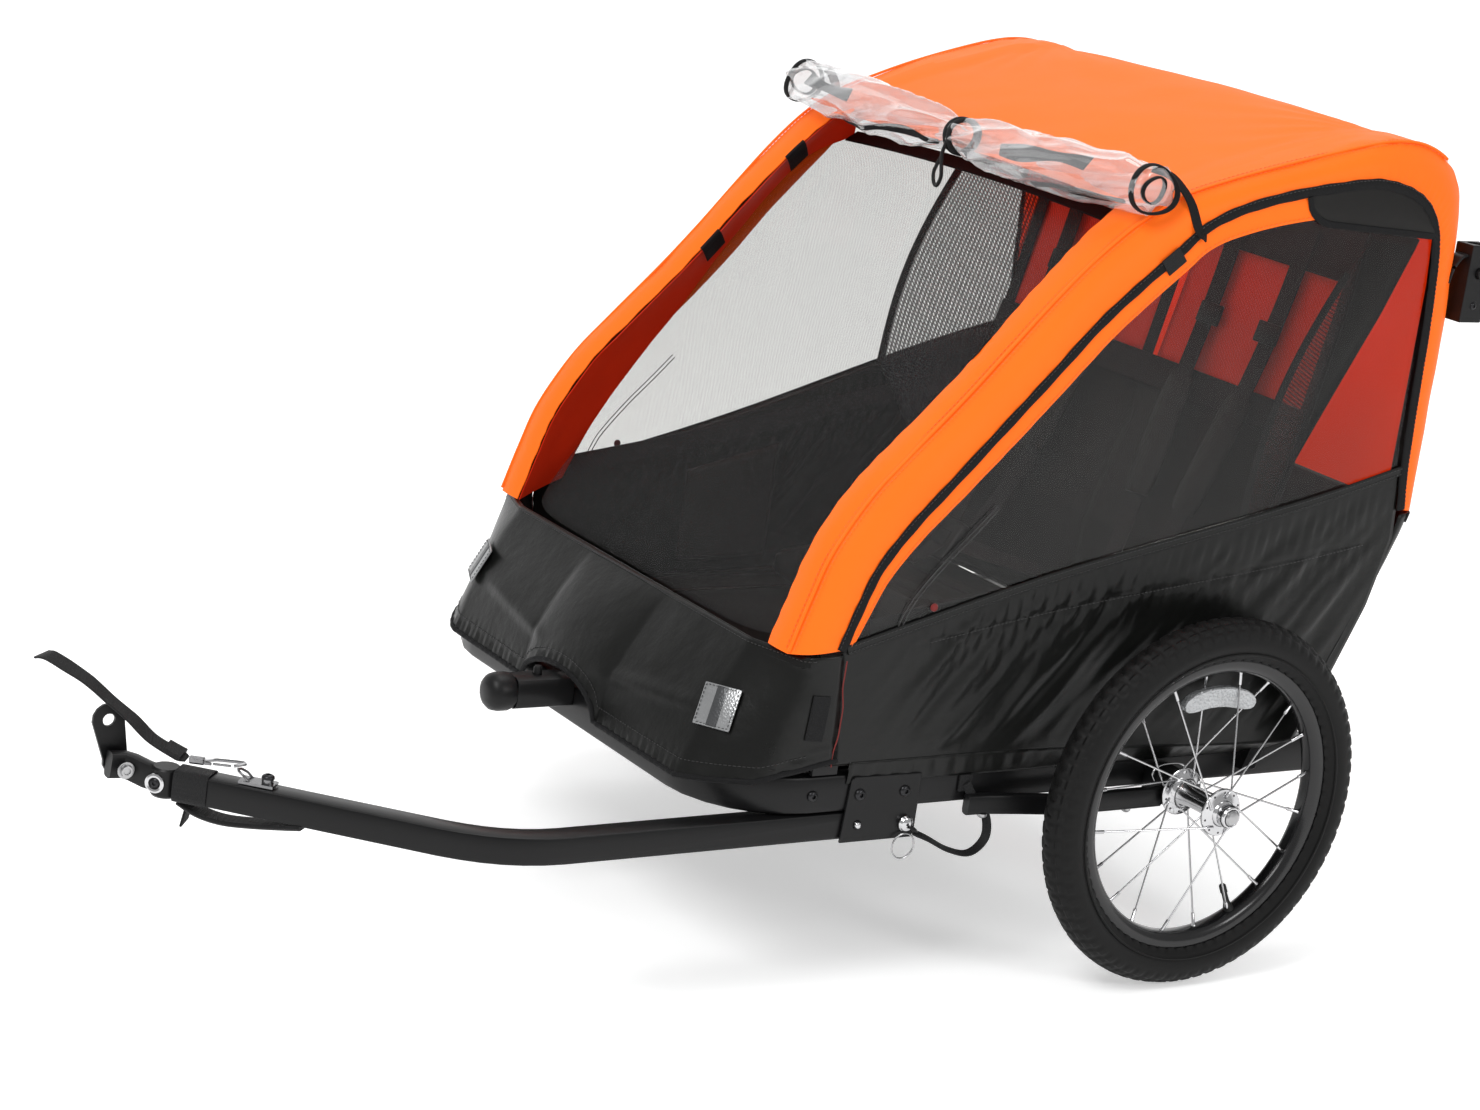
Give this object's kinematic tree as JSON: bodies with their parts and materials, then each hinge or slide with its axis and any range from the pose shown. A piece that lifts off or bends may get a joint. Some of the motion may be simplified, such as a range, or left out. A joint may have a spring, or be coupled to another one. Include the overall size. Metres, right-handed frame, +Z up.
{
  "type": "child bicycle trailer",
  "caption": "Folding two-seat child trailer for a bicycle: tube frame, orange fabric canopy, tinted side windows, spoked wheels and a side tow arm.",
  "frame": {"origin": "on the ground, midway between the wheels and midway along the whole object, hitch to handle sockets", "axes": "+Z up, -Y the direction of travel with the hitch at that end, +X the trailer's left side, where the tow arm is"},
  "size_m": [0.873, 1.4326, 0.895],
  "materials": {
    "frame_black": "satin",
    "steel": "satin",
    "chrome": "polished",
    "tyre": "matte",
    "rim_black": "gloss",
    "plastic_black": "matte",
    "orange_cover": "matte",
    "nylon_black": "satin",
    "tinted_window": "gloss",
    "clear_film": "gloss",
    "webbing": "matte"
  },
  "bodies": {
    "root": {"main_frame": "frame_black", "outrigger_L": "frame_black", "outrigger_R": "frame_black", "axle_receiver_L": "frame_black", "axle_receiver_R": "frame_black", "tow_bracket_outer": "frame_black", "tow_bracket_inner": "frame_black", "receiver_tube": "frame_black", "hoop_hinge_L": "frame_black", "hoop_hinge_R": "frame_black", "rear_leg_L": "frame_black", "rear_leg_R": "frame_black", "side_panel_L": "nylon_black", "side_panel_R": "nylon_black", "front_panel": "nylon_black", "rear_panel": "nylon_black", "floor_pan": "nylon_black", "seat_base": "nylon_black", "seat_back": "nylon_black", "harness_L": "webbing", "harness_R": "webbing"},
    "upper_frame": {"hoop_L": "frame_black", "hoop_R": "frame_black", "front_roof_bar": "frame_black", "rear_roof_bar": "frame_black", "canopy": "orange_cover", "side_window_L": "tinted_window", "side_window_R": "tinted_window", "rain_cover": "clear_film"},
    "rear_frame": {"upright_L": "frame_black", "upright_R": "frame_black", "handle_socket_L": "plastic_black", "handle_socket_R": "plastic_black"},
    "socket_button_L": {"socket_button_L": "plastic_black"},
    "socket_button_R": {"socket_button_R": "plastic_black"},
    "tow_arm": {"tow_arm": "frame_black", "strap_anchor": "steel", "snap_hook": "chrome", "safety_strap": "webbing"},
    "lock_pin": {"lock_pin": "chrome"},
    "pin_ring": {"pin_ring": "steel"},
    "arm_button": {"arm_button": "chrome"},
    "coupler": {"coupler": "plastic_black", "hitch_bolt": "steel"},
    "hitch_plate": {"hitch_plate": "frame_black"},
    "hook_gate": {"hook_gate": "chrome"},
    "receiver_plug": {"receiver_plug": "plastic_black"},
    "receiver_button": {"receiver_button": "plastic_black"},
    "axle_L": {"axle_L": "chrome"},
    "wheel_L": {"tyre_L": "tyre", "rim_L": "rim_black", "hub_L": "chrome", "spokes_L": "chrome"},
    "release_L": {"release_button_L": "steel"},
    "axle_R": {"axle_R": "chrome"},
    "wheel_R": {"tyre_R": "tyre", "rim_R": "rim_black", "hub_R": "chrome", "spokes_R": "chrome"},
    "release_R": {"release_button_R": "steel"}
  },
  "joints": [
    {"name": "frame_fold", "type": "hinge", "parent": "root", "child": "upper_frame", "pos_m": [0, -0.0217, 0.247], "axis": [1, 0, 0], "range_deg": [-36, 0], "deforming": ["canopy", "side_window_L", "side_window_R", "side_panel_L", "side_panel_R", "front_panel", "rear_panel", "floor_pan", "seat_base", "seat_back", "harness_L", "harness_R", "rain_cover"]},
    {"name": "rear_frame_fold", "type": "hinge", "parent": "upper_frame", "child": "rear_frame", "pos_m": [0, 0.6368, 0.821], "axis": [1, 0, 0], "range_deg": [-50.1, 0.1]},
    {"name": "wheel_L_remove", "type": "slide", "parent": "root", "child": "axle_L", "axis": [1, 0, 0], "range_m": [0, 0.09]},
    {"name": "wheel_L_spin", "type": "hinge", "parent": "axle_L", "child": "wheel_L", "pos_m": [0.383, 0.4083, 0.2], "axis": [1, 0, 0], "continuous": true},
    {"name": "release_L_press", "type": "slide", "parent": "axle_L", "child": "release_L", "axis": [-1, 0, 0], "range_m": [0, 0.003]},
    {"name": "socket_button_L_press", "type": "slide", "parent": "rear_frame", "child": "socket_button_L", "axis": [-1, 0, 0], "range_m": [0, 0.003]},
    {"name": "wheel_R_remove", "type": "slide", "parent": "root", "child": "axle_R", "axis": [-1, 0, 0], "range_m": [0, 0.09]},
    {"name": "wheel_R_spin", "type": "hinge", "parent": "axle_R", "child": "wheel_R", "pos_m": [-0.383, 0.4083, 0.2], "axis": [1, 0, 0], "continuous": true},
    {"name": "release_R_press", "type": "slide", "parent": "axle_R", "child": "release_R", "axis": [1, 0, 0], "range_m": [0, 0.003]},
    {"name": "socket_button_R_press", "type": "slide", "parent": "rear_frame", "child": "socket_button_R", "axis": [1, 0, 0], "range_m": [0, 0.003]},
    {"name": "tow_arm_fold", "type": "hinge", "parent": "root", "child": "tow_arm", "pos_m": [0.2945, 0.0813, 0.1763], "axis": [1, 0, 0], "range_deg": [0, 172]},
    {"name": "lock_pin_pull", "type": "slide", "parent": "root", "child": "lock_pin", "axis": [1, 0, 0], "range_m": [0, 0.065]},
    {"name": "pin_ring_flip", "type": "hinge", "parent": "lock_pin", "child": "pin_ring", "pos_m": [0.324, 0.0813, 0.1763], "axis": [0, 1, 0], "range_deg": [-150, 0]},
    {"name": "arm_button_press", "type": "slide", "parent": "root", "child": "arm_button", "axis": [-1, 0, 0], "range_m": [0, 0.004]},
    {"name": "hitch_yaw", "type": "hinge", "parent": "tow_arm", "child": "coupler", "pos_m": [0.0634, -0.6078, 0.18], "axis": [0, 0, 1], "range_deg": [-40, 40], "deforming": ["safety_strap"]},
    {"name": "hitch_pitch", "type": "hinge", "parent": "coupler", "child": "hitch_plate", "pos_m": [0.03, -0.6417, 0.186], "axis": [1, 0, 0], "range_deg": [-60, 60]},
    {"name": "hook_gate_open", "type": "hinge", "parent": "tow_arm", "child": "hook_gate", "pos_m": [0.1007, -0.5784, 0.20765], "axis": [0, 0, 1], "range_deg": [0, 25]},
    {"name": "receiver_plug_pull", "type": "slide", "parent": "root", "child": "receiver_plug", "axis": [0, -1, 0], "range_m": [0, 0.03]},
    {"name": "receiver_button_press", "type": "slide", "parent": "root", "child": "receiver_button", "axis": [0, 0, -1], "range_m": [0, 0.004]}
  ],
  "couplings": [
    {"joint": "rear_frame_fold", "follows": "frame_fold", "ratio": 1.389}
  ]
}
